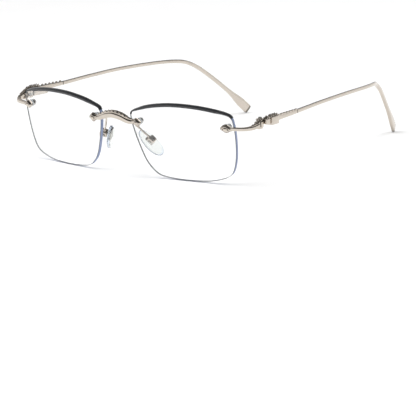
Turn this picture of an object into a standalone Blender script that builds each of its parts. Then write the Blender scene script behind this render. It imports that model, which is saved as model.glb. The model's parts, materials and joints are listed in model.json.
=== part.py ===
"""Rimless eyeglasses: clear lenses hung on a bridge and two endpieces, with sprung folding temples.

+X is the wearer's left, +Y runs back along the temples, +Z is up, and the glasses stand on z = 0.
Numbers are millimetres until add_mesh and the other makers turn them into Blender's metres.
Every side piece is written for the left side and mirrored in x for the right one.
"""

import math

import bmesh
import bpy
from mathutils import Matrix, Vector

MM = 0.001
SIDES = {"left": 1, "right": -1}
UP = Vector((0, 0, 1))

# The whole model is moved back by this much, so that its box is centred on y = 0.
FRONT_TO_CENTRE = 77.7

# Lens: an outline (x, z) seen from the front, on a surface that wraps and leans.
LENS_OUTLINE = [
    (61.9, 30.5), (60.8, 31.7), (58.8, 32.6), (54.8, 33.55), (46.9, 34.65), (38.0, 35.1),
    (29.0, 34.8), (19.3, 33.35), (13.0, 31.45), (10.0, 30.1), (9.05, 28.6), (9.0, 25.5),
    (10.2, 19.7), (12.0, 13.7), (14.3, 7.9), (17.0, 4.2), (21.0, 1.3), (27.3, 0.25),
    (36.0, 0.0), (46.0, 0.4), (53.0, 1.8), (57.0, 3.5), (59.4, 6.0), (61.2, 11.2),
    (62.2, 18.0), (62.5, 25.0),
]
TRIMMED_POINTS = 11  # the first points of the outline, along which the brow trim runs
LENS_CENTRE = Vector((35.0, 3.0, 17.0))
WRAP, LEAN, CURVE = 0.1405, 0.182, 0.0026
LENS_NORMAL = Vector((-WRAP, 1.0, LEAN)).normalized()
LENS_THICKNESS = 1.7
TRIM_HEIGHT, TRIM_PROUD, TRIM_TAPER = 1.1, 0.2, 9.0
FIT = 0.05  # gap left between pieces that touch on the real object

# Lens mounts: a stud through each hole, with a sleeve round it and a washer and nut behind.
STUDS = {"nasal": (12.9, 25.2), "temporal": (59.0, 25.9)}
HOLE_RADIUS, SLEEVE_RADIUS, STUD_RADIUS = 1.05, 1.0, 0.6
SLEEVE_BORE = WASHER_BORE = NUT_BORE = STUD_RADIUS + FIT
WASHER_RADIUS, WASHER_THICKNESS = 1.6, 0.35
NUT_RADIUS, NUT_LENGTH = 1.35, 1.5
STUD_LENGTH = LENS_THICKNESS + WASHER_THICKNESS + NUT_LENGTH + 0.3
PLATE_GAP = 0.12  # between a spearhead plate and the lens behind it

# Hinge axis of the left temple, and how far each temple is folded in at rest.
HINGE = Vector((68.5, 17.6, 28.1))
REST_FOLD_DEG = {"left": 5.8, "right": -0.45}
EYELET_RADIUS, LUG_RADIUS, SCREW_RADIUS = 1.2, 1.25, 0.45
EYELET_HEIGHT, LUG_HEIGHT = 1.0, 1.05

# Nose pad: its middle, the way its face looks, its long axis, and the screw it rocks on.
PAD_CENTRE = Vector((12.4, 9.5, 14.5))
PAD_FACE = Vector((-0.87, 0.37, -0.33)).normalized()
PAD_LONG = Vector((0.48, 0.47, -0.74)).normalized()
PAD_SHORT = PAD_FACE.cross(PAD_LONG).normalized()
PAD_LENGTH, PAD_WIDTH, PAD_THICKNESS = 15.0, 6.8, 1.9
BOX_SIZE, BOX_TO_PAD, BOX_OFFSET = 3.1, 0.5, 1.2
BOX_CENTRE = (
    PAD_CENTRE - PAD_FACE * (PAD_THICKNESS / 2 + BOX_TO_PAD + BOX_SIZE / 2) - PAD_LONG * BOX_OFFSET
)
STEM_WIDTH = 1.2
INSERT_CENTRE = BOX_CENTRE + PAD_FACE * (BOX_SIZE / 2 + 0.65)  # middle of the plate inside the pad
PAD_WIRE_RADIUS, PAD_SCREW_RADIUS = 0.45, 0.35

# Centre line of the left temple behind its end block, with the temple straight back.
TEMPLE_PATH = [
    (72.1, 22.5, 28.75), (71.9, 30.0, 28.95), (71.6, 42.6, 29.2), (71.3, 62.8, 30.1),
    (70.8, 82.9, 30.6), (69.1, 103.0, 30.4), (67.3, 112.9, 30.1), (65.4, 118.5, 29.7),
    (63.8, 121.9, 29.1), (62.5, 125.2, 27.8), (61.6, 128.7, 25.9), (60.7, 132.0, 23.7),
    (58.7, 138.0, 18.9), (56.3, 145.4, 12.5), (54.5, 151.1, 7.15), (52.8, 156.3, 2.0),
]
# Distance along the temple, its height and its thickness there.
TEMPLE_SECTIONS = [
    (0, 2.4, 1.7), (19, 1.75, 1.35), (40, 1.6, 1.2), (90, 1.6, 1.25), (100, 1.75, 1.35),
    (110, 1.85, 1.4), (126, 1.95, 1.45), (131, 2.05, 1.5), (134.5, 2.6, 1.55), (138, 3.7, 1.5),
    (141, 4.35, 1.45), (150, 4.4, 1.4),
]
TIP_ROUNDING = (0.6, 0.94), (0.95, 0.8), (1.1, 0.55)  # how far past the last point, and how small
# Low and high corners of the temple's end block, of its narrower front and of the crest on top.
BLOCK_INNER_X = HINGE.x + 1.4
REAR_BLOCK = (BLOCK_INNER_X, 19.3, 26.6), (73.5, 25.3, 30.1)
FRONT_BLOCK = (BLOCK_INNER_X, 16.45, 27.4), (72.7, 19.8, 29.6)
BLOCK_CREST = (BLOCK_INNER_X + 0.3, 17.0, 29.0), (73.2, 25.0, 31.2)

MATERIALS = {
    "champagne_metal": ((0.70, 0.66, 0.59, 1), 0.22, 1.0),
    "steel": ((0.62, 0.61, 0.58, 1), 0.28, 1.0),
    "lens_clear": ((0.93, 0.95, 0.97, 0.35), 0.03, 0.0),
    "pad_clear": ((0.88, 0.91, 0.90, 0.6), 0.15, 0.0),
    "trim_black": ((0.03, 0.03, 0.035, 1), 0.18, 0.0),
    "sleeve_plastic": ((0.80, 0.82, 0.84, 0.8), 0.35, 0.0),
}


# ---------------------------------------------------------------- makers

def clear_scene():
    for obj in list(bpy.data.objects):
        bpy.data.objects.remove(obj, do_unlink=True)


def new_collection(name):
    collection = bpy.data.collections.new(name)
    bpy.context.scene.collection.children.link(collection)
    return collection


def make_materials():
    for name, (colour, roughness, metallic) in MATERIALS.items():
        material = bpy.data.materials.new(name)
        material.use_nodes = True
        shader = material.node_tree.nodes["Principled BSDF"]
        shader.inputs["Base Color"].default_value = colour
        shader.inputs["Roughness"].default_value = roughness
        shader.inputs["Metallic"].default_value = metallic
        shader.inputs["Alpha"].default_value = colour[3]


def add_mesh(name, points, faces, material="champagne_metal"):
    """An object in the parts collection, from points in millimetres with the front at y = 0."""
    mesh = bpy.data.meshes.new(name)
    shift = Vector((0, -FRONT_TO_CENTRE, 0))
    mesh.from_pydata([(Vector(p) + shift) * MM for p in points], [], faces)
    work = bmesh.new()
    work.from_mesh(mesh)
    bmesh.ops.triangulate(work, faces=work.faces)
    bmesh.ops.recalc_face_normals(work, faces=work.faces)
    work.to_mesh(mesh)
    work.free()
    obj = bpy.data.objects.new(name, mesh)
    obj.data.materials.append(bpy.data.materials[material])
    PARTS.objects.link(obj)
    return obj


def mirrored(points, side):
    return [Vector((p[0] * SIDES[side], p[1], p[2])) for p in points]


def loft(name, rings, side, material="champagne_metal"):
    """A closed solid through rings of equally many points, with a flat fan on each end."""
    count = len(rings[0])
    points = mirrored([p for ring in rings for p in ring], side)
    faces = []
    for start in range(0, len(points) - count, count):
        for i in range(count):
            j = (i + 1) % count
            faces.append((start + i, start + j, start + count + j, start + count + i))
    faces.append(tuple(range(count)))
    faces.append(tuple(range(len(points) - count, len(points))))
    return add_mesh(name, points, faces, material)


def primitive(name, work, matrix, side, material):
    """Takes a bmesh primitive in millimetres through a placing matrix into an object."""
    work.verts.index_update()
    points = mirrored([matrix @ v.co for v in work.verts], side)
    faces = [tuple(v.index for v in face.verts) for face in work.faces]
    work.free()
    return add_mesh(name, points, faces, material)


def basis(centre, x_axis, z_axis):
    """A placing matrix with the given z axis, and x as near x_axis as that allows."""
    z = Vector(z_axis).normalized()
    y = z.cross(Vector(x_axis)).normalized()
    x = y.cross(z)
    matrix = Matrix((x, y, z)).transposed().to_4x4()
    matrix.translation = Vector(centre)
    return matrix


def rod(name, start, end, radius, side, sides=16, material="steel", end_radius=None):
    start, end = Vector(start), Vector(end)
    work = bmesh.new()
    bmesh.ops.create_cone(
        work, cap_ends=True, segments=sides, radius1=radius,
        radius2=radius if end_radius is None else end_radius, depth=(end - start).length,
    )
    across = Vector((1, 0, 0)) if abs((end - start).normalized().x) < 0.9 else UP
    return primitive(name, work, basis((start + end) / 2, across, end - start), side, material)


def block(name, matrix, size, side, chamfer=0.0, material="champagne_metal"):
    work = bmesh.new()
    bmesh.ops.create_cube(work, size=1.0, matrix=Matrix.Diagonal((*size, 1)))
    if chamfer:
        bmesh.ops.bevel(work, geom=work.edges[:], offset=chamfer, affect="EDGES")
    return primitive(name, work, matrix, side, material)


def upright_block(name, low, high, side, chamfer=0.0, material="champagne_metal"):
    low, high = Vector(low), Vector(high)
    return block(name, Matrix.Translation((low + high) / 2), high - low, side, chamfer, material)


def combine(target, other, operation):
    """Joins or cuts two objects for good, and removes the second one."""
    modifier = target.modifiers.new(operation, "BOOLEAN")
    modifier.operation, modifier.solver, modifier.object = operation, "EXACT", other
    bpy.context.view_layer.update()
    graph = bpy.context.evaluated_depsgraph_get()
    mesh = bpy.data.meshes.new_from_object(target.evaluated_get(graph))
    target.modifiers.remove(modifier)
    target.data = mesh
    bpy.data.objects.remove(other, do_unlink=True)
    return target


def join(target, *others):
    for other in others:
        combine(target, other, "UNION")
    return target


def cut(target, *others):
    for other in others:
        combine(target, other, "DIFFERENCE")
    return target


def wire(name, points, radius, side, material="champagne_metal"):
    """A round wire: a poly spline with a bevel, made a mesh with its caps welded on."""
    curve = bpy.data.curves.new(name, "CURVE")
    curve.dimensions, curve.bevel_depth, curve.bevel_resolution = "3D", radius * MM, 2
    curve.use_fill_caps = True
    spline = curve.splines.new("POLY")
    spline.points.add(len(points) - 1)
    shift = Vector((0, -FRONT_TO_CENTRE, 0))
    for target, point in zip(spline.points, mirrored(points, side)):
        target.co = (*((point + shift) * MM), 1)
    guide = bpy.data.objects.new(name + "_guide", curve)
    PARTS.objects.link(guide)
    bpy.context.view_layer.update()
    graph = bpy.context.evaluated_depsgraph_get()
    mesh = bpy.data.meshes.new_from_object(guide.evaluated_get(graph))
    mesh.name = name
    work = bmesh.new()
    work.from_mesh(mesh)
    bmesh.ops.remove_doubles(work, verts=work.verts, dist=1e-7)
    bmesh.ops.recalc_face_normals(work, faces=work.faces)
    work.to_mesh(mesh)
    work.free()
    bpy.data.objects.remove(guide, do_unlink=True)
    obj = bpy.data.objects.new(name, mesh)
    obj.data.materials.clear()
    obj.data.materials.append(bpy.data.materials[material])
    PARTS.objects.link(obj)
    return obj


def smooth_line(points, steps):
    """Points on a Catmull-Rom curve through the given ones, with steps of them to each span."""
    points = [Vector(p) for p in points]
    line = []
    for i in range(len(points) - 1):
        b, c = points[i], points[i + 1]
        a = points[i - 1] if i else b * 2 - c
        d = points[i + 2] if i + 2 < len(points) else c * 2 - b
        for step in range(steps):
            t = step / steps
            line.append(
                ((-a + 3 * b - 3 * c + d) * t**3 + (2 * a - 5 * b + 4 * c - d) * t**2
                 + (c - a) * t + 2 * b) / 2
            )
    return line + [points[-1]]


def between(table, place):
    """The row of a (place, value, value...) table at a place, on straight lines between rows."""
    for low, high in zip(table, table[1:]):
        if place <= high[0]:
            t = max(0.0, (place - low[0]) / (high[0] - low[0]))
            return [a + (b - a) * t for a, b in zip(low[1:], high[1:])]
    return list(table[-1][1:])


# ---------------------------------------------------------------- lenses

def lens_front(x, z):
    """A point on a left lens's front surface."""
    dx, dz = x - LENS_CENTRE.x, z - LENS_CENTRE.z
    return Vector((x, LENS_CENTRE.y + WRAP * dx + CURVE * dx * dx - LEAN * dz, z))


def lens_normal(x):
    """The way back through a left lens, square to its surface at x."""
    return Vector((-WRAP - 2 * CURVE * (x - LENS_CENTRE.x), 1.0, LEAN)).normalized()


def flat(points):
    return [Vector((x, 0, z)) for x, z in points]


def brow_line():
    """Points and trim heights along the lens's top edge, tapering to both ends."""
    line = smooth_line(flat(LENS_OUTLINE[:TRIMMED_POINTS]), 3)
    places = [0.0]
    for a, b in zip(line, line[1:]):
        places.append(places[-1] + (b - a).length)
    heights = [
        max(0.3, TRIM_HEIGHT * min(1.0, min(s, places[-1] - s) / TRIM_TAPER) ** 0.6) for s in places
    ]
    return line, heights


def inward(line, i):
    """The direction into the lens at a point of its outline, which runs from temple to nose."""
    ahead = line[min(i + 1, len(line) - 1)] - line[max(i - 1, 0)]
    return Vector((-ahead.z, 0, ahead.x)).normalized()


def make_lens(side):
    line, heights = brow_line()
    trimmed = [p + inward(line, i) * (heights[i] + FIT) for i, p in enumerate(line)]
    rest = smooth_line(flat(LENS_OUTLINE[TRIMMED_POINTS - 1:] + LENS_OUTLINE[:1]), 2)
    outline = trimmed + rest[1:-1]
    middle = Vector((36.0, 0, 17.5))
    front = [lens_front(middle.x, middle.z)]
    for part in (0.3, 0.6, 0.85, 1.0):
        ring = [middle + (p - middle) * part for p in outline]
        front += [lens_front(p.x, p.z) for p in ring]
    back = [p + LENS_NORMAL * LENS_THICKNESS for p in front]
    size, count = len(front), len(outline)
    faces = []
    for i in range(count):
        j = (i + 1) % count
        faces.append((0, 1 + i, 1 + j))
        for ring in range(3):
            a, b = 1 + ring * count, 1 + (ring + 1) * count
            faces.append((a + i, b + i, b + j, a + j))
    faces += [tuple(size + v for v in reversed(face)) for face in faces]
    outer = 1 + 3 * count
    for i in range(count):
        j = (i + 1) % count
        faces.append((outer + i, outer + j, size + outer + j, size + outer + i))
    lens = add_mesh(f"{side}_lens", mirrored(front + back, side), faces, "lens_clear")
    for x, z in STUDS.values():
        hole, through = lens_front(x, z), lens_normal(x)
        cut(lens, rod("hole", hole - through, hole + through * 4, HOLE_RADIUS, side))
    return lens


def make_brow_trim(side):
    """A black strip on the lens's top edge, with a sloping facet along its front."""
    line, heights = brow_line()
    rings = []
    for i, (point, height) in enumerate(zip(line, heights)):
        into = inward(line, i)
        top, low = (lens_front(p.x, p.z) for p in (point, point + into * height))
        facet = top + (low - top) * 0.35
        proud = LENS_NORMAL * -TRIM_PROUD
        rings.append([
            top + LENS_NORMAL * 0.35, facet + proud, low + proud * 0.6,
            low + LENS_NORMAL * LENS_THICKNESS, top + LENS_NORMAL * LENS_THICKNESS,
        ])
    return loft(f"{side}_brow_trim", rings, side, "trim_black")


# ---------------------------------------------------------------- lens mounts

def stud(name, side, place):
    """A stud from inside the spearhead plate, back through the lens."""
    foot, through = lens_front(*STUDS[place]), lens_normal(STUDS[place][0])
    return rod(name, foot - through * 0.5, foot + through * STUD_LENGTH, STUD_RADIUS, side, 12)


def ring_on_stud(name, side, place, start, length, outer, bore, sides, material):
    foot, through = lens_front(*STUDS[place]), lens_normal(STUDS[place][0])
    low, high = foot + through * start, foot + through * (start + length)
    body = rod(name, low, high, outer, side, sides, material)
    hole = rod("bore", low - through, high + through, bore, side, 12)
    return cut(body, hole)


def make_lens_mount(side, place):
    ring_on_stud(
        f"{side}_{place}_bushing", side, place, 0.1, LENS_THICKNESS - 0.2,
        SLEEVE_RADIUS - 0.02, SLEEVE_BORE, 16, "sleeve_plastic",
    )
    washer_start = LENS_THICKNESS + FIT
    ring_on_stud(
        f"{side}_{place}_washer", side, place, washer_start, WASHER_THICKNESS,
        WASHER_RADIUS, WASHER_BORE, 16, "sleeve_plastic",
    )
    ring_on_stud(
        f"{side}_{place}_nut", side, place, washer_start + WASHER_THICKNESS + FIT, NUT_LENGTH,
        NUT_RADIUS, NUT_BORE, 6, "steel",
    )


def bar_ring(centre, ahead, lean, up, down, front, back):
    """One ring of a bar: a flat front face, a chamfer above it and a sloping top facet."""
    ahead = Vector(ahead).normalized()
    rise = Vector((0, -lean, 1)).normalized()
    deep = ahead.cross(rise).normalized() * -1
    if deep.y < 0:
        deep.negate()
    rise = (rise - ahead * rise.dot(ahead)).normalized()
    shape = [
        (-front * 0.55, -down), (-front, -down * 0.72), (-front, up * 0.28), (-front * 0.6, up * 0.52),
        (-front * 0.1, up), (back * 0.8, up), (back, up * 0.7), (back, -down * 0.7), (back * 0.7, -down),
    ]
    return [Vector(centre) + deep * d + rise * h for d, h in shape]


def plate_station(x, z, up, down, thickness):
    """A ring of a spearhead plate, lying just in front of the lens."""
    depth = thickness / 2
    middle = lens_front(x, z) - lens_normal(x) * (depth + PLATE_GAP)
    ahead = lens_front(x + 0.5, z) - lens_front(x - 0.5, z)
    return bar_ring(middle, ahead, LEAN, up, down, depth, depth)


# ---------------------------------------------------------------- bridge

# Each plate station: x, z, height above and below its centre line, thickness.
NASAL_PLATE = [
    (15.3, 25.3, 0.25, 0.25, 0.6), (14.4, 25.2, 1.15, 1.05, 1.3), (13.1, 25.1, 2.2, 2.1, 2.1),
    (11.9, 25.1, 1.75, 1.55, 1.9), (10.9, 25.2, 1.35, 1.0, 1.7),
]
# Each bar station: x, y, z, height above and below, half depth.
BRIDGE_BAR = [
    (9.6, -1.35, 25.4, 1.3, 1.15, 0.85), (8.2, -1.5, 25.6, 1.3, 1.3, 1.0),
    (6.6, -1.6, 26.2, 1.35, 1.35, 1.2), (4.6, -1.75, 26.95, 1.4, 1.4, 1.4),
    (2.3, -1.85, 27.4, 1.45, 1.4, 1.55), (0.0, -1.9, 27.6, 1.5, 1.4, 1.6),
]
BRIDGE_CREST = (-2.3, -2.1, 28.3), (2.3, -0.5, 29.4)


def make_bridge():
    half = [plate_station(*row) for row in NASAL_PLATE]
    for i, (x, y, z, up, down, depth) in enumerate(BRIDGE_BAR):
        before = BRIDGE_BAR[max(i - 1, 0)]
        after = BRIDGE_BAR[i + 1] if i + 1 < len(BRIDGE_BAR) else (-before[0], *before[1:])
        ahead = Vector(before[:3]) - Vector(after[:3])
        half.append(bar_ring((x, y, z), ahead, LEAN * min(1.0, x / 9.6), up, down, depth, depth))
    other = [mirrored(ring, "right") for ring in reversed(half[:-1])]
    bridge = loft("bridge", half + other, "left")
    crest = upright_block("crest", *BRIDGE_CREST, "left", 0.25)
    join(bridge, crest)
    for side in SIDES:
        join(bridge, stud("stud", side, "nasal"))
    return bridge


# ---------------------------------------------------------------- endpieces

TEMPORAL_PLATE = [
    (56.2, 25.9, 0.25, 0.25, 0.6), (57.3, 25.9, 1.15, 1.1, 1.3), (58.9, 25.9, 1.95, 1.9, 2.1),
    (60.3, 25.85, 1.35, 1.35, 1.8), (61.4, 25.75, 0.85, 0.85, 1.5),
]
# Each arm station: x, y, z, half height, half depth.
ARM = [
    (63.4, 6.7, 25.85, 0.8, 0.7), (66.0, 7.45, 25.95, 0.8, 0.75), (68.3, 8.6, 26.15, 0.85, 0.85),
    (69.9, 10.3, 26.5, 0.95, 0.9), (70.3, 12.4, 26.95, 1.05, 1.0), (70.4, 14.6, 27.4, 1.4, 1.2),
]
HEAD_LOW, HEAD_HIGH = (68.2, 13.3, 25.3), (71.7, 16.25, 30.2)
WEB_START_Y = 15.0


def lug(name, low_z, side):
    """One ear of the hinge fork: a disc round the screw and a web into the endpiece's head."""
    disc = rod(
        name, (HINGE.x, HINGE.y, low_z), (HINGE.x, HINGE.y, low_z + LUG_HEIGHT), LUG_RADIUS, side, 20
    )
    web = upright_block(
        "web", (HINGE.x - 0.8, WEB_START_Y, low_z), (HINGE.x + 1.2, HINGE.y, low_z + LUG_HEIGHT), side
    )
    return join(disc, web)


def make_endpiece(side):
    rings = [plate_station(*row) for row in TEMPORAL_PLATE]
    for i, (x, y, z, height, depth) in enumerate(ARM):
        before, after = ARM[max(i - 1, 0)], ARM[min(i + 1, len(ARM) - 1)]
        ahead = Vector(after[:3]) - Vector(before[:3])
        lean = LEAN * max(0.0, 1 - i / 2)
        rings.append(bar_ring((x, y, z), ahead, lean, height, height, depth, depth))
    endpiece = loft(f"{side}_endpiece", rings, side)
    head = upright_block("head", HEAD_LOW, HEAD_HIGH, side, 0.45)
    half = EYELET_HEIGHT / 2 + FIT
    upper = lug("upper_lug", HINGE.z + half, side)
    lower = lug("lower_lug", HINGE.z - half - LUG_HEIGHT, side)
    join(endpiece, head, upper, lower, stud("stud", side, "temporal"))
    bottom, top = HINGE - UP * 4, HINGE + UP * 4
    return cut(endpiece, rod("screw_hole", bottom, top, SCREW_RADIUS + FIT, side))


def make_hinge_screw(side):
    half = EYELET_HEIGHT / 2 + FIT + LUG_HEIGHT
    seat = HINGE + UP * (half + FIT)
    bottom, neck = HINGE - UP * (half + 0.2), seat + UP * 0.2
    shank = rod(f"{side}_hinge_screw", bottom, neck, SCREW_RADIUS, side, 20)
    head = rod("head", seat, seat + UP * 0.5, 0.85, side, 20, end_radius=0.7)
    slot_place = Matrix.Translation(seat + UP * 0.78) @ Matrix.Rotation(math.radians(25), 4, "Z")
    slot = block("slot", slot_place, (4, 0.24, 1), side)
    return join(shank, cut(head, slot))


# ---------------------------------------------------------------- sprung temple hinge

POCKET = 1.2  # width and height of the housing's square channel
HOUSING_Y = (19.2, 28.6)
HOUSING_X = (-1.1, 1.35)  # from the hinge axis
HOUSING_HALF_HEIGHT = 1.2
PLUG_Y = (21.9, 22.7)
STOP_Y = (26.3, 27.0)
ROD_RADIUS, WIRE_RADIUS, COILS = 0.25, 0.09, 6


def make_slider(side):
    """The eyelet on the hinge screw, a square guide in the housing, and a rod with a stop."""
    x, z, half = HINGE.x, HINGE.z, EYELET_HEIGHT / 2
    eyelet = rod(f"{side}_hinge_slider", HINGE - UP * half, HINGE + UP * half, EYELET_RADIUS, side, 20)
    guide_end = PLUG_Y[0] - FIT
    guide = upright_block("guide", (x - half, HINGE.y, z - half), (x + half, guide_end, z + half), side)
    spindle = rod("spindle", (x, PLUG_Y[0] - 1, z), (x, STOP_Y[0] + 0.2, z), ROD_RADIUS, side, 12)
    stop = rod("stop", (x, STOP_Y[0], z), (x, STOP_Y[1], z), 0.5, side, 12)
    join(eyelet, guide, spindle, stop)
    return cut(eyelet, rod("screw_hole", HINGE - UP * 4, HINGE + UP * 4, SCREW_RADIUS + FIT, side))


def make_housing(side):
    """The spring box on the temple's inner face: rounded at the back, open at the front."""
    x, z = HINGE.x, HINGE.z
    half = HOUSING_HALF_HEIGHT
    low = (x + HOUSING_X[0], HOUSING_Y[0], z - half)
    high = (x + HOUSING_X[1], HOUSING_Y[1] - half, z + half)
    housing = upright_block(f"{side}_spring_housing", low, high, side)
    join(housing, rod("end", (low[0], high[1], z), (high[0], high[1], z), half, side, 20))
    channel = upright_block(
        "channel", (x - POCKET / 2, HOUSING_Y[0] - 1, z - POCKET / 2),
        (x + POCKET / 2, STOP_Y[1] + 0.3, z + POCKET / 2), side,
    )
    return cut(housing, channel)


def make_plug(side):
    half = POCKET / 2 - FIT
    x, z = HINGE.x, HINGE.z
    plug = upright_block(
        f"{side}_spring_plug", (x - half, PLUG_Y[0], z - half), (x + half, PLUG_Y[1], z + half), side,
        material="steel",
    )
    bore = rod("bore", (x, PLUG_Y[0] - 1, z), (x, PLUG_Y[1] + 1, z), ROD_RADIUS + FIT, side, 12)
    return cut(plug, bore)


def make_spring(side):
    """A coil round the slider's rod, between the plug and the stop."""
    start = PLUG_Y[1] + WIRE_RADIUS + FIT
    length = STOP_Y[0] - FIT - WIRE_RADIUS - start
    radius = ROD_RADIUS + FIT + WIRE_RADIUS
    turns = 8 * COILS
    points = []
    for i in range(turns + 1):
        angle = math.tau * i / 8
        across, lift = radius * math.cos(angle), radius * math.sin(angle)
        points.append((HINGE.x + across, start + length * i / turns, HINGE.z + lift))
    return wire(f"{side}_coil_spring", points, WIRE_RADIUS, side, "steel")


def make_temple(side):
    """The end block, the thin side bar, the ear bend and the flattened tip, in one piece."""
    line = smooth_line(TEMPLE_PATH, 3)
    place, rings = 0.0, []
    for i, point in enumerate(line):
        ahead = (line[min(i + 1, len(line) - 1)] - line[max(i - 1, 0)]).normalized()
        inner = Vector((-ahead.y, ahead.x, 0)).normalized()
        rise = ahead.cross(inner) * -1
        if rise.z < 0:
            rise.negate()
        if i:
            place += (point - line[i - 1]).length
        height, thickness = between(TEMPLE_SECTIONS, place)
        h, t, c = height / 2, thickness / 2, min(0.35, thickness * 0.25)
        shape = [
            (t, h - c), (t - c, h), (c - t, h), (-t, h - c),
            (-t, c - h), (c - t, -h), (t - c, -h), (t, c - h),
        ]
        rings.append([point + inner * a + rise * b for a, b in shape])
    last = rings[-1]
    middle = sum(last, Vector()) / len(last)
    onward = (line[-1] - line[-2]).normalized()
    for grow, shrink in TIP_ROUNDING:
        rings.append([middle + (p - middle) * shrink + onward * grow for p in last])
    temple = loft(f"{side}_temple", rings, side)
    rear = upright_block("rear", *REAR_BLOCK, side, 0.35)
    front = upright_block("front", *FRONT_BLOCK, side, 0.3)
    crest = upright_block("crest", *BLOCK_CREST, side, 0.4)
    return join(temple, rear, front, crest)


# ---------------------------------------------------------------- nose pads

def pad_matrix(centre):
    """x along the pad's length, y across it and z towards the nose."""
    return basis(centre, PAD_LONG, PAD_FACE)


def make_pad_arm(side):
    """The wire from behind the bridge's neck to the pad box."""
    box_edge = BOX_CENTRE - PAD_LONG * (BOX_SIZE / 2 + 2 * FIT)
    route = [
        (8.0, -0.2, 25.3), (8.0, 1.3, 25.2), (8.5, 2.7, 24.2), (9.9, 4.0, 22.3),
        (11.7, 5.5, 20.0), box_edge - PAD_LONG * 0.7, box_edge,
    ]
    return wire(f"{side}_pad_arm", smooth_line(route, 3), PAD_WIRE_RADIUS, side)


def make_pad_box(side):
    """A small chamfered box, open towards the pad to take the stem."""
    matrix = pad_matrix(BOX_CENTRE)
    box = block(f"{side}_pad_box", matrix, (BOX_SIZE, BOX_SIZE, BOX_SIZE), side, 0.45)
    mouth = matrix @ Matrix.Translation((0, 0, BOX_SIZE / 2 - 1.0))
    cut(box, block("mouth", mouth, (2.3, STEM_WIDTH + 0.2, BOX_SIZE), side))
    across = PAD_SHORT * 4
    return cut(box, rod("hole", BOX_CENTRE - across, BOX_CENTRE + across, PAD_SCREW_RADIUS + FIT, side))


def make_pad_screw(side):
    half = BOX_SIZE / 2
    screw = rod(
        f"{side}_pad_screw", BOX_CENTRE - PAD_SHORT * half, BOX_CENTRE + PAD_SHORT * (half + 0.1),
        PAD_SCREW_RADIUS, side,
    )
    start = BOX_CENTRE + PAD_SHORT * (half + FIT)
    return join(screw, rod("head", start, start + PAD_SHORT * 0.35, 0.75, side, 16, end_radius=0.6))


def make_pad_insert(side):
    """The metal plate behind the pad, and the stem that the screw passes through."""
    stem_tip = BOX_CENTRE - PAD_FACE * 0.7
    height = (INSERT_CENTRE - stem_tip).length
    stem = block(
        f"{side}_pad_insert", pad_matrix((stem_tip + INSERT_CENTRE) / 2), (1.3, STEM_WIDTH, height),
        side, material="steel",
    )
    plate = block("plate", pad_matrix(INSERT_CENTRE), (4.4, 2.6, 0.4), side, 0.1, "steel")
    join(stem, plate)
    across = PAD_SHORT * 4
    return cut(stem, rod("hole", BOX_CENTRE - across, BOX_CENTRE + across, PAD_SCREW_RADIUS + FIT, side))


def make_nose_pad(side):
    """An oval cushion of clear silicone, crowned on both faces, recessed for its insert."""
    rings = []
    for depth, part in ((-0.5, 0.55), (-0.38, 0.86), (-0.05, 1.0), (0.3, 0.86), (0.5, 0.5)):
        ring = []
        for i in range(24):
            angle = math.tau * i / 24
            narrow = 1 - 0.12 * math.cos(angle)
            along = math.cos(angle) * PAD_LENGTH / 2 * part
            across = math.sin(angle) * PAD_WIDTH / 2 * part / narrow * 0.94
            ring.append(
                PAD_CENTRE + PAD_LONG * along + PAD_SHORT * across + PAD_FACE * depth * PAD_THICKNESS
            )
        rings.append(ring)
    pad = loft(f"{side}_nose_pad", rings, side, "pad_clear")
    recess = pad_matrix(INSERT_CENTRE - PAD_FACE * 0.9)
    return cut(pad, block("recess", recess, (4.5, 2.7, 2.3), side))


# ---------------------------------------------------------------- assembly

def pivot(name, place, side, objects, turn_deg=0.0):
    """An empty on a joint's axis, which carries its moving pieces and turns them about z."""
    empty = bpy.data.objects.new(name, None)
    spot = mirrored([place], side)[0] + Vector((0, -FRONT_TO_CENTRE, 0))
    empty.location = spot * MM
    PARTS.objects.link(empty)
    bpy.context.view_layer.update()
    for obj in objects:
        obj.parent = empty
        obj.matrix_parent_inverse = empty.matrix_world.inverted()
    empty.rotation_euler.z = math.radians(turn_deg) * SIDES[side]
    return empty


def main():
    make_bridge()
    for side in SIDES:
        make_lens(side)
        make_brow_trim(side)
        for place in STUDS:
            make_lens_mount(side, place)
        make_endpiece(side)
        make_hinge_screw(side)
        moving = [
            make_slider(side), make_temple(side), make_housing(side), make_plug(side), make_spring(side),
        ]
        pivot(f"{side}_hinge_axis", HINGE, side, moving, REST_FOLD_DEG[side])
        make_pad_arm(side)
        make_pad_box(side)
        make_pad_screw(side)
        pivot(f"{side}_pad_axis", BOX_CENTRE, side, [make_pad_insert(side), make_nose_pad(side)])


clear_scene()
PARTS = new_collection("rimless_eyeglasses")
make_materials()
main()
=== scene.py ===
"""Rimless eyeglasses: the detailed visual pieces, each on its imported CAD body.

Shapes are built in millimetres for the left side, with the lens's front at y = 0 and the
temples straight, and piece() mirrors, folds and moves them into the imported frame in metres.
"""

import json
from math import asin, copysign, cos, inf, pi, radians, sin, tau

import bmesh
import bpy
from mathutils import Matrix, Vector, geometry


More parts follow.
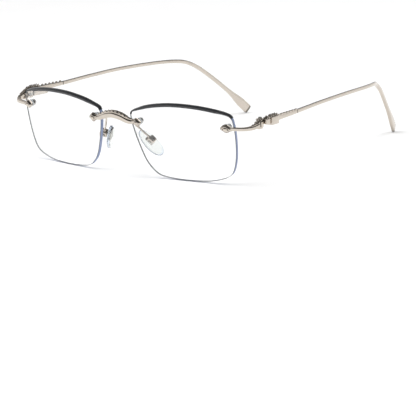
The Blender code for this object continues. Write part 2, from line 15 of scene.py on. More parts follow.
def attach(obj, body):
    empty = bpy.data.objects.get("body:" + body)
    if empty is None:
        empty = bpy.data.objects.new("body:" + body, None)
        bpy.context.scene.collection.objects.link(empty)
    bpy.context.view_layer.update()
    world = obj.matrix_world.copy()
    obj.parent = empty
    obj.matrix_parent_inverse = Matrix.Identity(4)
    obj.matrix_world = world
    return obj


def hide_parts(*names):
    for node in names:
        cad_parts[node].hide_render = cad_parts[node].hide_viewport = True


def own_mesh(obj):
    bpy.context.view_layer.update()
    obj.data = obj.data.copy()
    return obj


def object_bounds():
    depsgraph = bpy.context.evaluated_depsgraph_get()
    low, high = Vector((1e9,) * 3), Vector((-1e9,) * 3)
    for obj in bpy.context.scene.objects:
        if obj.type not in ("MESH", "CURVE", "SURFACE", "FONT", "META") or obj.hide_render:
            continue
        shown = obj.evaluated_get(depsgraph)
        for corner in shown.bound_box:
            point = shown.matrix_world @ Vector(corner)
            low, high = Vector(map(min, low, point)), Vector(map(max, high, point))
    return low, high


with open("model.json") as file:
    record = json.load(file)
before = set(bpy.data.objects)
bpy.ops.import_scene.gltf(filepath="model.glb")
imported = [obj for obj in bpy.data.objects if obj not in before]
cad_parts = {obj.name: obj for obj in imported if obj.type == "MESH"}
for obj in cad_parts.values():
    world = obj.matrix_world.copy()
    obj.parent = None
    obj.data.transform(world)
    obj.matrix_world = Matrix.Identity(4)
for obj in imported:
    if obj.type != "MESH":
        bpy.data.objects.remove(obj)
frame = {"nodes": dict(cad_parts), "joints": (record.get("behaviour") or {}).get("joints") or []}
CAD_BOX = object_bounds()

MM = 0.001
SIDES = {"left": 1, "right": -1}
UP = Vector((0, 0, 1))
HINGE_Y = 17.6  # the fold axis behind the lens's front
JOINTS = {joint["name"]: joint for joint in frame["joints"]}
FOLD_AXIS = Vector(JOINTS["left_temple_fold"]["pos_m"]) / MM
SHIFT = Vector((0, FOLD_AXIS.y - HINGE_Y, 0))
HINGE = FOLD_AXIS - SHIFT
REST_FOLD_DEG = {"left": 5.8, "right": -0.45}  # how far each temple is turned inwards at rest

# ---------------- sizes shared with the CAD

LENS_OUTLINE = [
    (61.9, 30.5), (60.8, 31.7), (58.8, 32.6), (54.8, 33.55), (46.9, 34.65), (38.0, 35.1),
    (29.0, 34.8), (19.3, 33.35), (13.0, 31.45), (10.0, 30.1), (9.05, 28.6), (9.0, 25.5),
    (10.2, 19.7), (12.0, 13.7), (14.3, 7.9), (17.0, 4.2), (21.0, 1.3), (27.3, 0.25),
    (36.0, 0.0), (46.0, 0.4), (53.0, 1.8), (57.0, 3.5), (59.4, 6.0), (61.2, 11.2),
    (62.2, 18.0), (62.5, 25.0),
]
TRIMMED_POINTS = 11  # the outline's first points, which the trim covers
LENS_CENTRE = Vector((35.0, 3.0, 17.0))
WRAP, LEAN, CURVE = 0.1405, 0.182, 0.0026  # slopes sideways and upwards, and the curve across
LENS_NORMAL = Vector((-WRAP, 1.0, LEAN)).normalized()
LENS_THICKNESS = 1.7
TRIM_HEIGHT, TRIM_PROUD, TRIM_TAPER = 1.1, 0.2, 9.0
FIT = 0.05  # the gap between pieces that touch on the real object

STUDS = {"nasal": (12.9, 25.2), "temporal": (59.0, 25.9)}
HOLE_RADIUS, SLEEVE_RADIUS, STUD_RADIUS = 1.05, 0.98, 0.6
HOLE_CHAMFER, EDGE_CHAMFER = 0.06, 0.2
WASHER_RADIUS, WASHER_THICKNESS = 1.6, 0.35
NUT_RADIUS, NUT_LENGTH = 1.35, 1.5
PLATE_GAP = 0.12  # between the lens and the spearhead plates

PAD_CENTRE = Vector((12.4, 9.5, 14.5))
PAD_FACE = Vector((-0.87, 0.37, -0.33)).normalized()
PAD_LONG = Vector((0.48, 0.47, -0.74)).normalized()
PAD_SHORT = PAD_FACE.cross(PAD_LONG).normalized()
PAD_LENGTH, PAD_WIDTH, PAD_THICKNESS = 15.0, 6.8, 1.9
BOX_SIZE, BOX_TO_PAD, BOX_OFFSET = 3.1, 0.5, 1.2
BOX_CENTRE = (
    PAD_CENTRE - PAD_FACE * (PAD_THICKNESS / 2 + BOX_TO_PAD + BOX_SIZE / 2) - PAD_LONG * BOX_OFFSET
)
INSERT_CENTRE = BOX_CENTRE + PAD_FACE * (BOX_SIZE / 2 + 0.65)

TEMPLE_PATH = [
    (72.1, 22.5, 28.75), (71.9, 30.0, 28.95), (71.6, 42.6, 29.2), (71.3, 62.8, 30.1),
    (70.8, 82.9, 30.6), (69.1, 103.0, 30.4), (67.3, 112.9, 30.1), (65.4, 118.5, 29.7),
    (63.8, 121.9, 29.1), (62.5, 125.2, 27.8), (61.6, 128.7, 25.9), (60.7, 132.0, 23.7),
    (58.7, 138.0, 18.9), (56.3, 145.4, 12.5), (54.5, 151.1, 7.15), (52.8, 156.3, 2.0),
]
TEMPLE_SECTIONS = [  # place along the temple, height and thickness
    (0, 2.4, 1.7), (19, 1.75, 1.35), (40, 1.6, 1.2), (90, 1.6, 1.25), (100, 1.75, 1.35),
    (110, 1.85, 1.4), (126, 1.95, 1.45), (131, 2.05, 1.5), (134.5, 2.6, 1.55), (138, 3.7, 1.5),
    (141, 4.35, 1.45), (150, 4.4, 1.4),
]


# ---------------- materials

def new_material(name):
    material = bpy.data.materials.new(name)
    material.use_nodes = True
    nodes, links = material.node_tree.nodes, material.node_tree.links
    return material, nodes, links, nodes["Principled BSDF"]


def noise(nodes, links, scale, detail, stretch=(1, 1, 1)):
    """A noise texture in object space, whose scale is per metre."""
    place = nodes.new("ShaderNodeTexCoord")
    mapping = nodes.new("ShaderNodeMapping")
    mapping.inputs["Scale"].default_value = stretch
    texture = nodes.new("ShaderNodeTexNoise")
    texture.inputs["Scale"].default_value = scale
    texture.inputs["Detail"].default_value = detail
    links.new(place.outputs["Object"], mapping.inputs["Vector"])
    links.new(mapping.outputs["Vector"], texture.inputs["Vector"])
    return texture.outputs["Fac"]


def remap(nodes, links, value, low, high, start=0.3, end=0.7):
    """A value's range from start to end, stretched to go from low to high."""
    node = nodes.new("ShaderNodeMapRange")
    node.inputs["From Min"].default_value, node.inputs["From Max"].default_value = start, end
    node.inputs["To Min"].default_value, node.inputs["To Max"].default_value = low, high
    links.new(value, node.inputs["Value"])
    return node.outputs["Result"]


def blend_colours(nodes, links, value, first, second):
    """Mixes two colours, or a socket and a colour, by a value."""
    node = nodes.new("ShaderNodeMix")
    node.data_type = "RGBA"
    links.new(value, node.inputs["Factor"])
    for colour, socket in ((first, node.inputs["A"]), (second, node.inputs["B"])):
        if isinstance(colour, bpy.types.NodeSocket):
            links.new(colour, socket)
        else:
            socket.default_value = (*colour, 1)
    return node.outputs["Result"]


def bump(nodes, links, shader, height, distance, strength):
    node = nodes.new("ShaderNodeBump")
    node.inputs["Strength"].default_value = strength
    node.inputs["Distance"].default_value = distance
    links.new(height, node.inputs["Height"])
    links.new(node.outputs["Normal"], shader.inputs["Normal"])


def metal(name, colour, worn, roughness, grain=2600):
    """Plated metal: cloudy tone, with painted shade darkening its crevices, and fine polishing marks.
    """
    material, nodes, links, shader = new_material(name)
    cloud = noise(nodes, links, 160, 3)
    fine = noise(nodes, links, grain, 6, (1, 0.25, 1))
    tone = blend_colours(nodes, links, remap(nodes, links, cloud, 0, 1), colour, worn)
    # Painted shade: ambient occlusion darkens the base colour in crevices and recesses.
    crevice = nodes.new("ShaderNodeAmbientOcclusion")
    crevice.inputs["Distance"].default_value = 0.45 * MM
    crevice.samples = 6
    depth = remap(nodes, links, crevice.outputs["AO"], 0.75, 0.0, 0.15, 0.85)
    crevice_shaded_tone = blend_colours(nodes, links, depth, tone, (0.09, 0.08, 0.07))
    links.new(crevice_shaded_tone, shader.inputs["Base Color"])
    shader.inputs["Metallic"].default_value = 1.0
    rough = remap(nodes, links, fine, roughness * 0.75, roughness * 1.35)
    links.new(rough, shader.inputs["Roughness"])
    bump(nodes, links, shader, fine, 0.004 * MM, 0.5)
    return material


def plastic(name, colour, second, roughness, behind=None):
    """A glossy opaque surface; behind, if given, is a painted shade colour for its back faces, where
    it is seen through the piece.
    """
    material, nodes, links, shader = new_material(name)
    cloud = noise(nodes, links, 300, 4)
    fine = noise(nodes, links, 4000, 3)
    tone = blend_colours(nodes, links, remap(nodes, links, cloud, 0, 1), colour, second)
    if behind:
        # Painted shade: the back faces, seen through the piece, take the darker behind colour.
        sides = nodes.new("ShaderNodeNewGeometry")
        tone = blend_colours(nodes, links, sides.outputs["Backfacing"], tone, behind)
    links.new(tone, shader.inputs["Base Color"])
    links.new(remap(nodes, links, fine, roughness * 0.7, roughness * 1.4), shader.inputs["Roughness"])
    shader.inputs["Coat Weight"].default_value = 0.12
    shader.inputs["Coat Roughness"].default_value = 0.1
    bump(nodes, links, shader, fine, 0.006 * MM, 0.4)
    return material


def clear(name, tint, second, roughness, ior, shadow):
    """A clear solid whose faint haze varies, and which lets lamps through to what is behind it."""
    material, nodes, links, shader = new_material(name)
    haze = noise(nodes, links, 900, 3)
    tone = blend_colours(nodes, links, remap(nodes, links, haze, 0, 1), tint, second)
    links.new(tone, shader.inputs["Base Color"])
    links.new(remap(nodes, links, haze, roughness[0], roughness[1]), shader.inputs["Roughness"])
    shader.inputs["IOR"].default_value = ior
    shader.inputs["Transmission Weight"].default_value = 1.0
    rays = nodes.new("ShaderNodeLightPath")
    through = nodes.new("ShaderNodeBsdfTransparent")
    through.inputs["Color"].default_value = (*shadow, 1)
    mix = nodes.new("ShaderNodeMixShader")
    links.new(rays.outputs["Is Shadow Ray"], mix.inputs["Fac"])
    links.new(shader.outputs["BSDF"], mix.inputs[1])
    links.new(through.outputs["BSDF"], mix.inputs[2])
    links.new(mix.outputs["Shader"], nodes["Material Output"].inputs["Surface"])
    return material


CHAMPAGNE = metal("champagne_plating", (0.65, 0.585, 0.515), (0.605, 0.545, 0.48), 0.14)
# A darker copy of the plating, painted on as shade: on the temple tip's end, in seams, and on tops
# under beads.
SHADE_PLATING = metal("painted_shade_plating", (0.22, 0.20, 0.165), (0.17, 0.155, 0.13), 0.2)
# A near-black copy of the plating for the temple's top faces: a painted dark reflection of the
# surroundings.
PAINTED_REFLECTION = metal("painted_reflection_plating", (0.19, 0.185, 0.185), (0.15, 0.145, 0.145), 0.2)
STEEL = metal("screw_steel", (0.60, 0.585, 0.55), (0.50, 0.49, 0.46), 0.2, 5200)
BLACK = plastic("brow_black", (0.012, 0.013, 0.015), (0.022, 0.023, 0.026), 0.3)
NYLON = plastic("sleeve_nylon", (0.72, 0.74, 0.75), (0.62, 0.64, 0.66), 0.35)
LENS = clear("lens_polished", (0.99, 0.995, 1.0), (0.98, 0.99, 1.0), (0.0, 0.004), 1.5, (0.95,) * 3)
# The painted shade on the lens edge's back faces, where they are seen through the lens.
EDGE_SHADE_BEHIND = (0.10, 0.105, 0.115)
LENS_EDGE = plastic("lens_ground_edge", (0.22, 0.28, 0.46), (0.30, 0.36, 0.54), 0.45, EDGE_SHADE_BEHIND)
LENS_BEVEL = plastic("lens_bevel", (0.10, 0.105, 0.12), (0.16, 0.165, 0.18), 0.35, EDGE_SHADE_BEHIND)
SILICONE = clear(
    "pad_silicone", (0.89, 0.91, 0.89), (0.85, 0.88, 0.86), (0.02, 0.08), 1.41, (0.80, 0.82, 0.81)
)
PAD_RIM = clear(
    "pad_silicone_rim", (0.74, 0.81, 0.90), (0.66, 0.74, 0.85), (0.05, 0.15), 1.41, (0.7, 0.74, 0.8)
)


# The painted shade plating goes in slot 1, the temple top's painted dark reflection in slot 2, and
# the pad's rim in slot 1.
SHADE_SLOT, REFLECTION_SLOT, RIM_SLOT = 1, 2, 1  # where a piece's second and third materials are
SOFT_EDGE = 0.05  # the bevel on the edges of carved pieces


# ---------------- shape making

def smooth_line(points, steps):
    """Points on a Catmull-Rom curve through the given ones, with steps of them to each span."""
    points = [Vector(p) for p in points]
    line = []
    for i in range(len(points) - 1):
        b, c = points[i], points[i + 1]
        a = points[i - 1] if i else b * 2 - c
        d = points[i + 2] if i + 2 < len(points) else c * 2 - b
        for step in range(steps):
            t = step / steps
            line.append(
                ((-a + 3 * b - 3 * c + d) * t**3 + (2 * a - 5 * b + 4 * c - d) * t**2
                 + (c - a) * t + 2 * b) / 2
            )
    return line + [points[-1]]


def smooth_rows(rows, steps):
    """Number rows smoothed the same way, three columns at a time."""
    count = len(rows[0])
    thirds = [
        smooth_line([(*row[i:i + 3], 0, 0)[:3] for row in rows], steps) for i in range(0, count, 3)
    ]
    return [[v for part in parts for v in part][:count] for parts in zip(*thirds)]


def table_row(table, place):
    """The row of a (place, value, value...) table at a place, on straight lines between rows."""
    for low, high in zip(table, table[1:]):
        if place <= high[0]:
            t = max(0.0, (place - low[0]) / (high[0] - low[0]))
            return [a + (b - a) * t for a, b in zip(low[1:], high[1:])]
    return list(table[-1][1:])


def frames_along(line):
    """(point, across, lift, ahead) at each point of a line, turning as little as possible."""
    ahead = [
        (line[min(i + 1, len(line) - 1)] - line[max(i - 1, 0)]).normalized() for i in range(len(line))
    ]
    across = ahead[0].cross(UP if abs(ahead[0].z) < 0.9 else Vector((1, 0, 0))).normalized()
    result = []
    for point, way in zip(line, ahead):
        across = (across - way * across.dot(way)).normalized()
        result.append((point, across, across.cross(way), way))
    return result


def basis(centre, x_axis, z_axis):
    """A placing matrix with the given z axis, and x as near x_axis as that allows."""
    z = Vector(z_axis).normalized()
    y = z.cross(Vector(x_axis)).normalized()
    matrix = Matrix((y.cross(z), y, z)).transposed().to_4x4()
    matrix.translation = Vector(centre)
    return matrix


class Shape:
    """One piece's mesh in millimetres, built for the left side out of closed solids."""

    def __init__(self):
        self.mesh = bmesh.new()

    def loft(self, rings):
        """A closed solid through rings of equally many points."""
        rows = [[self.mesh.verts.new(p) for p in ring] for ring in rings]
        count = len(rings[0])
        for a, b in zip(rows, rows[1:]):
            for i in range(count):
                self.mesh.faces.new((a[i], a[(i + 1) % count], b[(i + 1) % count], b[i]))
        self.mesh.faces.new(rows[0])
        self.mesh.faces.new(rows[-1])
        return self

    def tube(self, line, radius, sides=12):
        """A round rod along a line, whose radius may be a list, with softened ends."""
        radii = radius if isinstance(radius, list) else [radius] * len(line)
        steps = [(*way[:3], r) for way, r in zip(frames_along(line), radii)]
        caps = []
        for end, way in ((0, line[0] - line[1]), (-1, line[-1] - line[-2])):
            point, across, lift, r = steps[end]
            caps.append([
                (point + way.normalized() * r * push, across, lift, r * shrink)
                for push, shrink in ((0.42, 0.55), (0.22, 0.86))
            ])
        return self.loft([[
            point + across * r * cos(a) + lift * r * sin(a)
            for a in (tau * k / sides for k in range(sides))
        ] for point, across, lift, r in caps[0] + steps + caps[1][::-1]])

    def rope(self, line, radius, pitch):
        """Two twisted strands along a line."""
        for first in (0, 0.5):
            run, strand = 0.0, []
            for i, (point, across, lift, _) in enumerate(frames_along(line)):
                run += (point - line[i - 1]).length if i else 0.0
                angle = tau * (run / pitch + first)
                way = across * cos(angle) + lift * sin(angle)
                strand.append(point + way * radius * 0.5)
            self.tube(strand, radius * 0.56, 7)

    def lathe(self, centre, axis, profile, sides=32):
        """A turned solid: profile rows are (place along the axis, radius)."""
        side = (1, 0, 0) if abs(Vector(axis).normalized().x) < 0.9 else UP
        matrix = basis(centre, side, axis)
        rings = [[
            matrix @ Vector((r * cos(a), r * sin(a), z))
            for a in (tau * k / sides for k in range(sides))
        ] for z, r in profile]
        return self.loft(rings)

    def box(self, matrix, size, bevel=0.2, segments=3, slot=0):
        """A block with rounded edges."""
        before = set(self.mesh.faces)
        stretched = matrix @ Matrix.Diagonal((*size, 1))
        made = bmesh.ops.create_cube(self.mesh, size=1.0, matrix=stretched)
        edges = list({e for v in made["verts"] for e in v.link_edges})
        bmesh.ops.bevel(
            self.mesh, geom=edges, offset=bevel, segments=segments, profile=0.5, affect="EDGES"
        )
        for face in set(self.mesh.faces) - before:
            face.material_index = slot
        return self

    def between(self, low, high, bevel=0.2, segments=3, slot=0):
        """A block with rounded edges, from its low corner to its high one."""
        low, high = Vector(low), Vector(high)
        return self.box(Matrix.Translation((low + high) / 2), high - low, bevel, segments, slot)

    def bead(self, centre, radii, axis, rings=6, sides=12):
        """A bead with its own radii across and along an axis."""
        across, along = radii
        turns = [pi * (k + 0.5) / rings for k in range(rings)]
        profile = [(-along * cos(a), across * sin(a)) for a in turns]
        return self.lathe(centre, axis, profile, sides)

    def beads(self, line, radii, pitch, sideways=0.0, upwards=0.0):
        """Leaning beads strung along a line, a pitch apart."""
        run, due = 0.0, pitch / 2
        for (point, across, lift, along), before in zip(frames_along(line)[1:], line):
            run += (point - before).length
            if run >= due:
                self.bead(point, radii, along + across * sideways + lift * upwards, 8, 14)
                due += pitch

    def scroll(self, centre, across, lift, radius, turns, thick, hand=1):
        """A spiral curl in the plane of two directions, thinning towards its middle."""
        line, radii = [], []
        steps = int(18 * turns)
        for k in range(steps + 1):
            t = k / steps
            angle, reach = tau * turns * t * hand, radius * (1 - 0.72 * t)
            way = across * cos(angle) + lift * sin(angle)
            line.append(Vector(centre) + way * reach)
            radii.append(thick * (1 - 0.35 * t))
        return self.tube(line, radii, 8)


def finished(work, name):
    """A mesh from a bmesh, which is freed."""
    mesh = bpy.data.meshes.new(name)
    work.to_mesh(mesh)
    work.free()
    return mesh


def add_object(name, data):
    obj = bpy.data.objects.new(name, data)
    bpy.context.scene.collection.objects.link(obj)
    return obj


def placed(name, shape, side, turn):
    """An object from a shape: mirrored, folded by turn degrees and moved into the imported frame."""
    mirror = Matrix.Diagonal((SIDES[side], 1, 1, 1))
    pivot = Vector((HINGE.x * SIDES[side], HINGE.y, HINGE.z))
    fold = (
        Matrix.Translation(pivot) @ Matrix.Rotation(radians(turn) * SIDES[side], 4, "Z")
        @ Matrix.Translation(-pivot)
    )
    work = shape.mesh
    work.transform(Matrix.Diagonal((MM, MM, MM, 1)) @ Matrix.Translation(SHIFT) @ fold @ mirror)
    bmesh.ops.recalc_face_normals(work, faces=work.faces)
    for face in work.faces:
        face.smooth = True
    return add_object(name, finished(work, name))


def piece(shape, node, kind, side, body, materials, turn=0.0, sharp_deg=32, bevel=0.0):
    """Places a shape as a visible piece on its body, in place of its CAD node."""
    obj = placed(f"{node}_{kind}", shape, side, turn)
    mesh = obj.data
    mesh.set_sharp_from_angle(angle=radians(sharp_deg))
    for material in materials:
        mesh.materials.append(material)
    if bevel:
        soften = obj.modifiers.new("soften", "BEVEL")
        soften.width, soften.segments, soften.limit_method = bevel * MM, 2, "ANGLE"
        soften.angle_limit, soften.harden_normals = radians(25), True
    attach(obj, body)
    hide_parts(node)
    return obj


# ---------------- lenses

def lens_front(x, z):
    dx, dz = x - LENS_CENTRE.x, z - LENS_CENTRE.z
    return Vector((x, LENS_CENTRE.y + WRAP * dx + CURVE * dx * dx - LEAN * dz, z))


def lens_normal(x):
    return Vector((-WRAP - 2 * CURVE * (x - LENS_CENTRE.x), 1.0, LEAN)).normalized()


def flat(points):
    return [Vector((x, 0, z)) for x, z in points]


def brow_line(steps):
    """Points and trim heights along the lens's top edge, tapering to both ends."""
    line = smooth_line(flat(LENS_OUTLINE[:TRIMMED_POINTS]), steps)
    places = [0.0]
    for a, b in zip(line, line[1:]):
        places.append(places[-1] + (b - a).length)
    heights = [
        max(0.3, TRIM_HEIGHT * min(1.0, min(s, places[-1] - s) / TRIM_TAPER) ** 0.6) for s in places
    ]
    return line, heights


def inward(line, i, closed=False):
    """The direction into the lens at a point of its outline."""
    if closed:
        ahead = line[(i + 1) % len(line)] - line[i - 1]
    else:
        ahead = line[min(i + 1, len(line) - 1)] - line[max(i - 1, 0)]
    return Vector((-ahead.z, 0, ahead.x)).normalized()


GRID_STEP, GRID_ROWS, GRID_COLUMNS = 2.4, range(15), range(3, 26)
GRID_MARGIN = 1.1  # how far the lens's inner points stay from its edge
HOLE_SIDES, HOLE_INSET = 28, 0.08


def clear_of_holes(spot, gap):
    return all((spot - Vector(stud)).length > HOLE_RADIUS + gap for stud in STUDS.values())


def lens_face(loops):
    """Flat points, triangles within the first loop but not the holes, and where the loops went."""
    flat_points, edges = [], []
    for loop in loops:
        start, count = len(flat_points), len(loop)
        flat_points += [Vector((p.x, p.z)) for p in loop]
        edges += [(start + k, start + (k + 1) % count) for k in range(count)]
    border = flat_points[:len(loops[0])]
    for column in GRID_COLUMNS:
        for row in GRID_ROWS:
            spot = Vector((column * GRID_STEP, row * GRID_STEP))
            near = min((spot - q).length for q in border)
            if near > GRID_MARGIN and clear_of_holes(spot, 1.0) and inside(spot, border):
                flat_points.append(spot)
    points, _, triangles, origins, *_ = geometry.delaunay_2d_cdt(flat_points, edges, [], 1, 1e-5)
    keep = []
    for triangle in triangles:
        middle = sum((points[v] for v in triangle), Vector((0, 0))) / 3
        if clear_of_holes(middle, HOLE_CHAMFER):
            keep.append(triangle)
    where = {source: made for made, sources in enumerate(origins) for source in sources}
    return points, keep, where


def make_lens(side):
    """A polished lens with two drilled holes, and a ground edge with a small bevel."""
    line, heights = brow_line(6)
    trimmed = [p + inward(line, i) * (heights[i] + FIT) for i, p in enumerate(line)]
    rest = smooth_line(flat(LENS_OUTLINE[TRIMMED_POINTS - 1:] + LENS_OUTLINE[:1]), 6)
    outline = trimmed + rest[1:-1]
    loops = [[p + inward(outline, i, True) * EDGE_CHAMFER for i, p in enumerate(outline)]]
    mouth = HOLE_RADIUS + HOLE_CHAMFER
    for x, z in STUDS.values():
        loops.append([
            Vector((x + mouth * cos(a), 0, z + mouth * sin(a)))
            for a in (tau * k / HOLE_SIDES for k in range(HOLE_SIDES))
        ])
    points, triangles, where = lens_face(loops)
    shape = Shape()
    work = shape.mesh
    front = [work.verts.new(lens_front(p.x, p.y)) for p in points]
    through = LENS_NORMAL * LENS_THICKNESS
    back = [work.verts.new(lens_front(p.x, p.y) + through) for p in points]
    for triangle in triangles:
        work.faces.new([front[v] for v in triangle])
        work.faces.new([back[v] for v in reversed(triangle)])
    start = 0
    for loop in loops:
        count = len(loop)
        ids = [where[start + k] for k in range(count)]
        ring, inset = outline, EDGE_CHAMFER
        if start:
            centre = sum(loop, Vector()) / count
            ring, inset = [centre + (p - centre) * (HOLE_RADIUS / mouth) for p in loop], HOLE_INSET
        start += count
        middle = [
            [work.verts.new(lens_front(p.x, p.z) + LENS_NORMAL * depth) for p in ring]
            for depth in (inset, LENS_THICKNESS - inset)
        ]
        rows = [[front[v] for v in ids], *middle, [back[v] for v in ids]]
        for slot, (a, b) in zip((2, 1, 2), zip(rows, rows[1:])):
            for k in range(count):
                face = work.faces.new((a[k], a[(k + 1) % count], b[(k + 1) % count], b[k]))
                face.material_index = slot
    materials = [LENS, LENS_EDGE, LENS_BEVEL]
    piece(shape, f"{side}_lens", "clear", side, "front", materials)


def inside(spot, border):
    """True if a flat point is inside a closed border, by counting crossings."""
    odd = False
    for a, b in zip(border, border[1:] + border[:1]):
        if (a.y > spot.y) != (b.y > spot.y):
            if spot.x < a.x + (spot.y - a.y) * (b.x - a.x) / (b.y - a.y):
                odd = not odd
    return odd


def make_brow_trim(side):
    """A black strip on the lens's top edge, with a crowned front and a rounded top."""
    line, heights = brow_line(8)
    rings = []
    for i, (point, height) in enumerate(zip(line, heights)):
        into = inward(line, i)
        rings.append([])
        # Rows: share of the trim's height down from the top, and depth behind the lens's front.
        for down, depth in (
            (0.0, 0.42), (0.10, 0.12), (0.30, -TRIM_PROUD), (0.62, -TRIM_PROUD * 0.95),
            (0.93, -0.07), (1.0, 0.06), (1.0, LENS_THICKNESS - 0.1), (0.9, LENS_THICKNESS),
            (0.12, LENS_THICKNESS), (0.0, LENS_THICKNESS - 0.14),
        ):
            p = point + into * height * down
            rings[-1].append(lens_front(p.x, p.z) + LENS_NORMAL * depth)
    shape = Shape().loft(rings)
    node = f"{side}_brow_trim"
    piece(shape, node, "gloss", side, "front", [BLACK], sharp_deg=40)


# ---------------- lens mounts

def stud_axis(place):
    return lens_front(*STUDS[place]), lens_normal(STUDS[place][0])


def add_stud(shape, place):
    """A threaded stud from the spearhead plate, back through the lens and nut."""
    foot, through = stud_axis(place)
    length = LENS_THICKNESS + WASHER_THICKNESS + NUT_LENGTH + 0.3
    profile = [(-0.5, STUD_RADIUS), (0.3, STUD_RADIUS)]
    place_along, pitch = 0.5, 0.25
    while place_along < length - 0.3:
        profile += [(place_along, STUD_RADIUS - 0.09), (place_along + pitch / 2, STUD_RADIUS)]
        place_along += pitch
    profile += [(length - 0.12, STUD_RADIUS - 0.04), (length, STUD_RADIUS - 0.2)]
    shape.lathe(foot, through, profile, 20)


def add_ring(shape, centre, axis, outer, bore, length, chamfer, sides):
    """A bored ring: chamfered outside and at both mouths of its bore."""
    turn_ring(shape, centre, axis, sides, [
        (chamfer, outer), (length - chamfer, outer), (length, outer - chamfer),
        (length, bore + chamfer * 0.5), (length - chamfer * 0.5, bore), (chamfer * 0.5, bore),
        (0, bore + chamfer * 0.5), (0, outer - chamfer),
    ])


def turn_ring(shape, centre, axis, sides, rows, reach=inf):
    """Rows of (place along the axis, radius) turned round it; reach cuts them to a hexagon."""
    matrix = basis(centre, (1, 0, 0), axis)
    rings = []
    for k in range(sides):
        angle = tau * k / sides
        flat_side = reach / cos((angle % (pi / 3)) - pi / 6)
        way = Vector((cos(angle), sin(angle), 0))
        rings.append([
            shape.mesh.verts.new(matrix @ (way * min(flat_side, r) + UP * z)) for z, r in rows
        ])
    count = len(rows)
    for a, b in zip(rings, rings[1:] + rings[:1]):
        for k in range(count):
            shape.mesh.faces.new((a[k], a[(k + 1) % count], b[(k + 1) % count], b[k]))


def add_nut(shape, centre, axis):
    """A six-sided nut whose corners are turned off at both ends, with a plain bore."""
    bore, reach = STUD_RADIUS + FIT, NUT_RADIUS * cos(pi / 6)
    turn_ring(shape, centre, axis, 36, [
        (0, reach * 0.97), (0.16, NUT_RADIUS), (NUT_LENGTH - 0.22, NUT_RADIUS),
        (NUT_LENGTH, reach * 0.92), (NUT_LENGTH, bore + 0.12), (NUT_LENGTH - 0.12, bore),
        (0.1, bore), (0, bore + 0.1),
    ], reach)


def make_lens_mount(side, place):
    """The plastic sleeve in a lens hole, the washer behind it and the nut on the stud."""
    foot, through = stud_axis(place)
    sleeve, inset = Shape(), 0.1
    add_ring(
        sleeve, foot + through * inset, through, SLEEVE_RADIUS, STUD_RADIUS + FIT,
        LENS_THICKNESS - 2 * inset, 0.06, 28,
    )
    piece(sleeve, f"{side}_{place}_bushing", "sleeve", side, "front", [NYLON])
    washer = Shape()
    start = LENS_THICKNESS + FIT
    add_ring(
        washer, foot + through * start, through, WASHER_RADIUS, STUD_RADIUS + FIT,
        WASHER_THICKNESS, 0.08, 36,
    )
    piece(washer, f"{side}_{place}_washer", "ring", side, "front", [NYLON])
    nut = Shape()
    add_nut(nut, foot + through * (start + WASHER_THICKNESS + FIT), through)
    piece(nut, f"{side}_{place}_nut", "hex", side, "front", [STEEL], sharp_deg=24)


# ---------------- spearheads and bars

def on_plate(x, z, proud):
    """A point in front of the lens by the plate's gap and a height above it."""
    return lens_front(x, z) - lens_normal(x) * (PLATE_GAP + proud)


def spearhead(shape, outline, middle, thickness):
    """A leaf-shaped plate with steep facets up to a flat, and a domed boss in a groove on it."""
    centre = Vector(middle)
    corners = [Vector(p) for p in outline]

    def ring(share, push, proud):
        """The outline drawn in to a share of its size and by a fixed distance, at a height."""
        points = []
        for i, p in enumerate(corners):
            ahead = corners[(i + 1) % len(corners)] - corners[i - 1]
            into = Vector((-ahead.y, ahead.x)).normalized()
            if into.dot(centre - p) < 0:
                into.negate()
            q = centre + (p + into * push - centre) * share
            points.append(on_plate(q.x, q.y, proud))
        return points

    t = thickness
    shape.loft([
        ring(1, 0.15, 0), ring(1, 0, 0.15), ring(1, 0, t * 0.34), ring(1, 0.16, t * 0.42),
        ring(1, 0.22, t * 0.4), ring(0.97, 0.75, t * 0.78), ring(0.9, 0.9, t * 0.78),
        ring(0.4, 0.5, t * 0.6),
    ])
    foot, through = on_plate(centre.x, centre.y, t * 0.4), -lens_normal(centre.x)
    shape.lathe(foot, through, [
        (0, 0.98), (t * 0.38, 0.98), (t * 0.44, 0.9), (t * 0.52, 0.66), (t * 0.58, 0.36),
        (t * 0.6, 0.1),
    ], 28)


def bar_ring(centre, ahead, lean, up, down, half, step):
    """One ring of a bar: a flat front, a sloping step up to a face set back, and a plain back."""
    ahead = ahead.normalized()
    rise = Vector((0, -lean, 1)).normalized()
    deep = ahead.cross(rise).normalized()
    if deep.y < 0:
        deep.negate()
    rise = (rise - ahead * rise.dot(ahead)).normalized()
    ledge, face = up * 0.6 - step, step - half
    corners = [
        (-half * 0.45, -down), (-half * 0.86, -down * 0.93), (-half, -down * 0.7),
        (-half, ledge - 0.06), (0.03 - half, ledge), (face, ledge + step * 0.95),
        (face + 0.05, ledge + step), (face + 0.12, up * 0.9), (face + 0.25, up),
        (half * 0.72, up), (half * 0.94, up * 0.86), (half, up * 0.6), (half, -down * 0.62),
        (half * 0.9, -down * 0.9), (half * 0.6, -down),
    ]
    return [Vector(centre) + deep * d + rise * h for d, h in corners]


NASAL_HEAD = [
    (15.35, 25.3), (15.1, 25.75), (13.6, 26.95), (13.1, 27.3), (12.7, 27.2), (11.5, 26.6),
    (10.2, 26.3), (10.2, 24.35), (11.5, 23.95), (12.7, 23.1), (13.1, 22.95), (13.6, 23.2),
    (15.1, 24.85),
]
TEMPORAL_HEAD = [
    (56.15, 25.9), (56.4, 26.4), (57.4, 27.3), (58.6, 27.85), (59.6, 27.75), (60.7, 27.0),
    (61.9, 26.4), (61.9, 25.1), (60.7, 24.75), (59.5, 24.1), (58.9, 23.95), (58.2, 24.15),
    (56.4, 25.4),
]
PLATE_THICKNESS = 2.1
